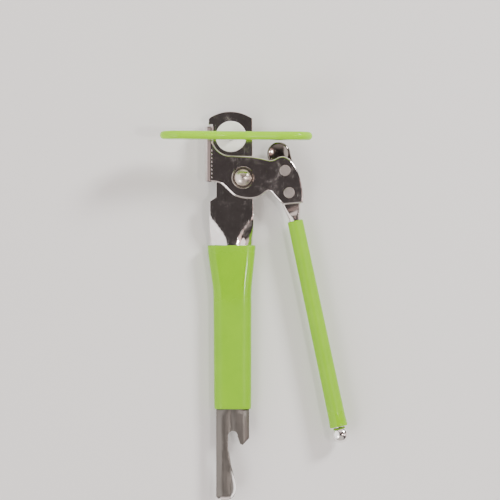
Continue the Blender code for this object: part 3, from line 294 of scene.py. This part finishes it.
def chrome(name, light, dark, rough_range, swell, tail=None, painted_dark_reflection=None):
    """Bright plating with faint clouding, hairline scratches, hazy patches and a slightly uneven surface.

    tail is the Y range over which it turns to dull rolled steel, and the last argument is a row like
    FLANGE_BEND, which paints a band of dark reflection into the colour.
    """
    f = Finish(name, 1.0)
    cloud = f.noise(*PLATING_CLOUD)
    haze = f.span(f.noise(*PLATING_HAZE), *HAZE_BAND)
    scratch = f.maths("MAXIMUM", *(f.scratches(*settings) for settings in SCRATCH_SETS))
    colour = f.blend(f.span(cloud, *MID_BAND), light, dark)
    rough = f.span(f.noise(*PLATING_SMEAR), *SMEAR_BAND, *rough_range)
    rough = f.maths("ADD", rough, f.maths("MULTIPLY", scratch, SCRATCH_ROUGH))
    rough = f.maths("ADD", rough, f.maths("MULTIPLY", haze, HAZE_ROUGH))
    if tail is not None:
        dull = f.span(f.axis("Y"), *tail)
        grain = f.noise(*ROLLED_GRAIN, vector=f.stretched(ROLLED_STRETCH))
        colour = f.blend(dull, colour, f.blend(grain, ROLLED_DARK, ROLLED_LIGHT))
        dull_rough = f.span(grain, *MID_BAND, *ROLLED_ROUGH)
        rubbed = f.maths("MULTIPLY", f.span(f.axis("Z"), *RUBBED_HEIGHTS), dull)
        colour = f.blend(rubbed, colour, RUBBED_COLOUR)
        dull = f.maths("SUBTRACT", dull, rubbed)
        rough = f.maths("ADD", rough, f.maths("MULTIPLY", dull, dull_rough))
    # Painted dark reflection: the colour goes to a dark tint over a band along one axis
    if painted_dark_reflection is not None:
        along, begins, full, full_until, ends, tint = painted_dark_reflection
        coming = f.span(f.axis(along), begins, full)
        going = f.span(f.axis(along), ends, full_until)
        colour = f.blend(f.maths("MULTIPLY", coming, going), colour, tint)
    f.put("Base Color", colour)
    f.put("Roughness", rough)
    uneven = f.bump(f.noise(*PLATING_SWELL), swell)
    f.put("Normal", f.bump(scratch, SCRATCH_RELIEF, uneven))
    return f.made


def satin(name, light, dark, rough_range):
    """Plain steel with a fine grain."""
    f = Finish(name, 1.0)
    grain = f.noise(*STEEL_GRAIN)
    f.put("Base Color", f.blend(f.span(grain, *MID_BAND), dark, light))
    f.put("Roughness", f.span(f.noise(*STEEL_SMEAR), *MID_BAND, *rough_range))
    f.put("Normal", f.bump(grain, STEEL_RELIEF))
    return f.made


def vinyl(name, light, dark, glossy):
    """Dipped lime vinyl: soft colour, faint runs, a fine orange-peel skin, and a glossy stretch in Y."""
    f = Finish(name)
    patch = f.noise(*VINYL_PATCH)
    speck = f.span(f.noise(*VINYL_SPECK), *SPECK_BAND)
    colour = f.blend(f.span(patch, *MID_BAND), dark, light)
    f.put("Base Color", f.blend(f.maths("MULTIPLY", speck, SPECK_SHARE), colour, SPECK_COLOUR))
    low, high = glossy
    gloss = f.maths("MULTIPLY", f.span(f.axis("Y"), low - GLOSS_EDGE, low + GLOSS_EDGE),
                    f.span(f.axis("Y"), high + GLOSS_EDGE, high - GLOSS_EDGE))
    skin = f.span(f.noise(*VINYL_SKIN), *MID_BAND, *VINYL_ROUGH)
    f.put("Roughness", f.maths("SUBTRACT", skin, f.maths("MULTIPLY", gloss, GLOSS_SHINE)))
    peel = f.bump(f.noise(*VINYL_PEEL), PEEL_RELIEF)
    f.put("Normal", f.bump(f.noise(*VINYL_RUNS), RUNS_RELIEF, peel))
    f.shader.inputs["Specular IOR Level"].default_value = VINYL_SPECULAR
    f.lit_within(*VINYL_DEPTH)
    return f.made


def nylon(name):
    """Milky moulded nylon with faint flow marks."""
    f = Finish(name)
    flow = f.noise(*NYLON_FLOW)
    f.put("Base Color", f.blend(f.span(flow, *MID_BAND), NYLON_DARK, NYLON_LIGHT))
    f.put("Roughness", f.span(f.noise(*NYLON_SMEAR), *MID_BAND, *NYLON_ROUGH))
    f.put("Normal", f.bump(f.noise(*NYLON_GRAIN), NYLON_RELIEF))
    f.lit_within(*NYLON_DEPTH)
    return f.made


# Pieces

def clean_copy(node):
    """The frame node's surface as one joined mesh, its flat facets fused."""
    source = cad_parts[node].data
    bm = bmesh.new()
    merged = {}
    for polygon in source.polygons:
        corners = []
        for index in polygon.vertices:
            place = source.vertices[index].co
            key = tuple(round(value * STEPS_PER_METRE) for value in place)
            if key not in merged:
                merged[key] = bm.verts.new(place)
            if merged[key] not in corners:
                corners.append(merged[key])
        if len(corners) == 3:
            bm.faces.new(corners)
    bmesh.ops.dissolve_limit(bm, angle_limit=FLAT_ANGLE, verts=bm.verts, edges=bm.edges)
    return bm


def refined(node, body, finish, levels=0):
    """A finer piece over a frame node, which it replaces: rounded if it has levels, else shaded smooth."""
    bm = clean_copy(node)
    if levels:
        bmesh.ops.triangulate(bm, faces=[face for face in bm.faces if len(face.verts) > QUAD_CORNERS])
        bmesh.ops.join_triangles(bm, faces=bm.faces, angle_face_threshold=QUAD_BEND,
                                 angle_shape_threshold=QUAD_SKEW)
        crease = bm.edges.layers.float.new("crease_edge")
        for edge in bm.edges:
            if len(edge.link_faces) == 2 and edge.calc_face_angle() > SHARP_ANGLE:
                edge[crease] = 1.0
    mesh = bpy.data.meshes.new(node)
    bm.to_mesh(mesh)
    bm.free()
    mesh.shade_smooth()
    mesh.set_sharp_from_angle(angle=SHARP_ANGLE)
    piece = bpy.data.objects.new("fine_" + node, mesh)
    bpy.context.scene.collection.objects.link(piece)
    mesh.materials.append(finish)
    if levels:
        rounder = piece.modifiers.new("rounder", "SUBSURF")
        rounder.levels = levels
        rounder.render_levels = levels
    else:
        even = piece.modifiers.new("even", "WEIGHTED_NORMAL")
        even.keep_sharp = True
    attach(piece, body)
    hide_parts(node)


def make_crimps(finish):
    """A row of small pressed beads down the plate beside its flange."""
    bm = bmesh.new()
    for i in range(CRIMP_COUNT):
        y = CRIMP_TOP + (CRIMP_BOTTOM - CRIMP_TOP) * i / (CRIMP_COUNT - 1)
        rings = []
        for share, height in CRIMP_RINGS:
            ring = []
            for k in range(CRIMP_SIDES):
                a = math.tau * k / CRIMP_SIDES
                x = CRIMP_X + CRIMP_WIDTH / 2 * share * math.cos(a)
                along = y + CRIMP_LENGTH / 2 * share * math.sin(a)
                ring.append(bm.verts.new((x, along, PLATE_FRONT + height)))
            rings.append(ring)
        for low, high in zip(rings, rings[1:]):
            for k in range(CRIMP_SIDES):
                after = (k + 1) % CRIMP_SIDES
                bm.faces.new((low[k], low[after], high[after], high[k]))
        bm.faces.new(rings[-1])
        bm.faces.new(list(reversed(rings[0])))
    mesh = bpy.data.meshes.new("flange_crimps")
    bm.to_mesh(mesh)
    bm.free()
    mesh.shade_smooth()
    piece = bpy.data.objects.new("flange_crimps", mesh)
    bpy.context.scene.collection.objects.link(piece)
    mesh.materials.append(finish)
    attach(piece, SHORT)


# Stage

def make_floor(low):
    """A wide pale floor just under the opener."""
    f = Finish("pale_floor")
    f.put("Base Color", f.blend(f.noise(*FLOOR_PATCH), FLOOR_DARK, FLOOR_LIGHT))
    f.put("Roughness", f.span(f.noise(*FLOOR_GRAIN), *MID_BAND, *FLOOR_ROUGH))
    bm = bmesh.new()
    bmesh.ops.create_grid(bm, x_segments=1, y_segments=1, size=FLOOR_HALF)
    mesh = bpy.data.meshes.new("floor")
    bm.to_mesh(mesh)
    bm.free()
    floor = bpy.data.objects.new("floor", mesh)
    floor.location = (0.0, 0.0, low)
    bpy.context.scene.collection.objects.link(floor)
    mesh.materials.append(f.made)


def soft_panel(tree, place, direction, full, gone, colour):
    """A round patch of light: full inside one angle from its direction, gone outside another."""
    facing = tree.nodes.new("ShaderNodeVectorMath")
    facing.operation = "DOT_PRODUCT"
    tree.links.new(place, facing.inputs[0])
    facing.inputs[1].default_value = Vector(direction).normalized()
    level = tree.nodes.new("ShaderNodeMapRange")
    level.interpolation_type = "SMOOTHSTEP"
    tree.links.new(facing.outputs["Value"], level.inputs[0])
    level.inputs[RANGE_LOW].default_value = math.cos(math.radians(gone))
    level.inputs[RANGE_HIGH].default_value = math.cos(math.radians(full))
    glow = tree.nodes.new("ShaderNodeVectorMath")
    glow.operation = "SCALE"
    glow.inputs[0].default_value = colour
    tree.links.new(level.outputs[0], glow.inputs["Scale"])
    return glow.outputs[0]


def make_world():
    """A soft studio: dim overhead, with soft panels all round."""
    world = bpy.data.worlds.new("studio")
    bpy.context.scene.world = world
    world.use_nodes = True
    tree = world.node_tree
    back = tree.nodes["Background"]
    place = tree.nodes.new("ShaderNodeTexCoord").outputs["Generated"]
    total = soft_panel(tree, place, *PANELS[0])
    for panel in PANELS[1:]:
        both = tree.nodes.new("ShaderNodeVectorMath")
        both.operation = "ADD"
        tree.links.new(total, both.inputs[0])
        tree.links.new(soft_panel(tree, place, *panel), both.inputs[1])
        total = both.outputs[0]
    tree.links.new(total, back.inputs["Color"])
    back.inputs["Strength"].default_value = 1.0


def make_lamp(name, direction, size, power, colour):
    """A square soft lamp that faces the opener from a direction."""
    light = bpy.data.lights.new(name, "AREA")
    light.size = size
    light.energy = power
    light.color = colour
    lamp = bpy.data.objects.new(name, light)
    lamp.location = LAMP_AIM + Vector(direction).normalized() * LAMP_DISTANCE
    lamp.rotation_mode = "QUATERNION"
    lamp.rotation_quaternion = Vector(direction).to_track_quat("Z", "Y")
    lamp.visible_camera = False
    bpy.context.scene.collection.objects.link(lamp)


def make_camera():
    """Straight above, as the photograph is taken."""
    camera = bpy.data.cameras.new("camera")
    camera.sensor_width = SENSOR_WIDTH
    camera.lens = SENSOR_WIDTH * CAMERA_PLACE[2] / SEEN_WIDTH
    camera.clip_end = SEEN_DEPTH
    holder = bpy.data.objects.new("camera", camera)
    holder.location = CAMERA_PLACE
    bpy.context.scene.collection.objects.link(holder)
    bpy.context.scene.camera = holder


def main():
    plate = chrome("mirror_plate", light=(0.80, 0.75, 0.74), dark=(0.66, 0.62, 0.61),
                   rough_range=(0.07, 0.13), swell=0.2 * MM, painted_dark_reflection=FLANGE_BEND)
    strip = chrome("polished_strip", light=(0.80, 0.76, 0.74), dark=(0.66, 0.64, 0.62),
                   rough_range=(0.06, 0.12), swell=0.1 * MM, tail=STRIP_TAIL)
    bright = chrome("polished_rivet", light=(0.66, 0.59, 0.53), dark=(0.57, 0.51, 0.46),
                    rough_range=(0.24, 0.32), swell=0.03 * MM)
    crisp = chrome("polished_washer", light=(0.78, 0.72, 0.66), dark=(0.66, 0.61, 0.56),
                   rough_range=(0.12, 0.18), swell=0.03 * MM)
    tube = chrome("polished_tube", light=(0.76, 0.72, 0.69), dark=(0.66, 0.62, 0.59),
                  rough_range=(0.07, 0.14), swell=0.06 * MM, painted_dark_reflection=DISHED_END)
    ball = chrome("polished_ball", light=(0.93, 0.92, 0.90), dark=(0.86, 0.85, 0.83),
                  rough_range=(0.05, 0.10), swell=0.03 * MM)
    plain = satin("plain_steel", light=(0.56, 0.55, 0.53), dark=(0.46, 0.45, 0.44), rough_range=(0.3, 0.42))
    ground = satin("ground_steel", light=(0.50, 0.50, 0.50), dark=(0.36, 0.36, 0.36), rough_range=(0.26, 0.4))
    rivets = satin("satin_rivet", light=(0.54, 0.485, 0.465), dark=(0.43, 0.385, 0.37),
                   rough_range=(0.34, 0.46))
    lime = vinyl("lime_vinyl", light=(0.235, 0.53, 0.0), dark=(0.21, 0.49, 0.0), glossy=GRIP_GLOSS)
    lime_round = vinyl("lime_vinyl_round", light=(0.25, 0.55, 0.0), dark=(0.225, 0.51, 0.0),
                       glossy=ROUND_GRIP_GLOSS)
    lime_dip = vinyl("lime_dip", light=(0.335, 0.72, 0.0), dark=(0.30, 0.67, 0.0), glossy=WING_GLOSS)
    white = nylon("white_nylon")
    refined("long_lever", LONG, strip)
    refined("long_handle_grip", LONG, lime, levels=1)
    refined("pivot_rivet", LONG, bright, levels=2)
    refined("pivot_front_washer", LONG, crisp, levels=1)
    refined("pivot_rear_washer", LONG, plain, levels=1)
    refined("nylon_washer", LONG, white, levels=1)
    refined("feed_washer", LONG, plain, levels=1)
    refined("front_plate", SHORT, plate)
    refined("cutter_blade", SHORT, ground)
    refined("blade_rivet_upper", SHORT, plain, levels=1)
    refined("blade_rivet_lower", SHORT, plain, levels=1)
    refined("short_handle_tube", SHORT, tube)
    refined("handle_rivet_upper", SHORT, rivets, levels=1)
    refined("handle_rivet_lower", SHORT, rivets, levels=1)
    refined("short_handle_grip", SHORT, lime_round, levels=1)
    refined("ball_end_cap", SHORT, ball, levels=1)
    refined("wing_core", KEY, plain)
    refined("wing_coating", KEY, lime_dip, levels=1)
    refined("wing_pin", KEY, plain, levels=1)
    refined("drive_spindle", KEY, plain)
    refined("feed_wheel", KEY, ground)
    make_crimps(plate)
    make_floor(cad_box[0].z - FLOOR_GAP)
    make_world()
    for lamp in LAMPS:
        make_lamp(*lamp)
    make_camera()


main()
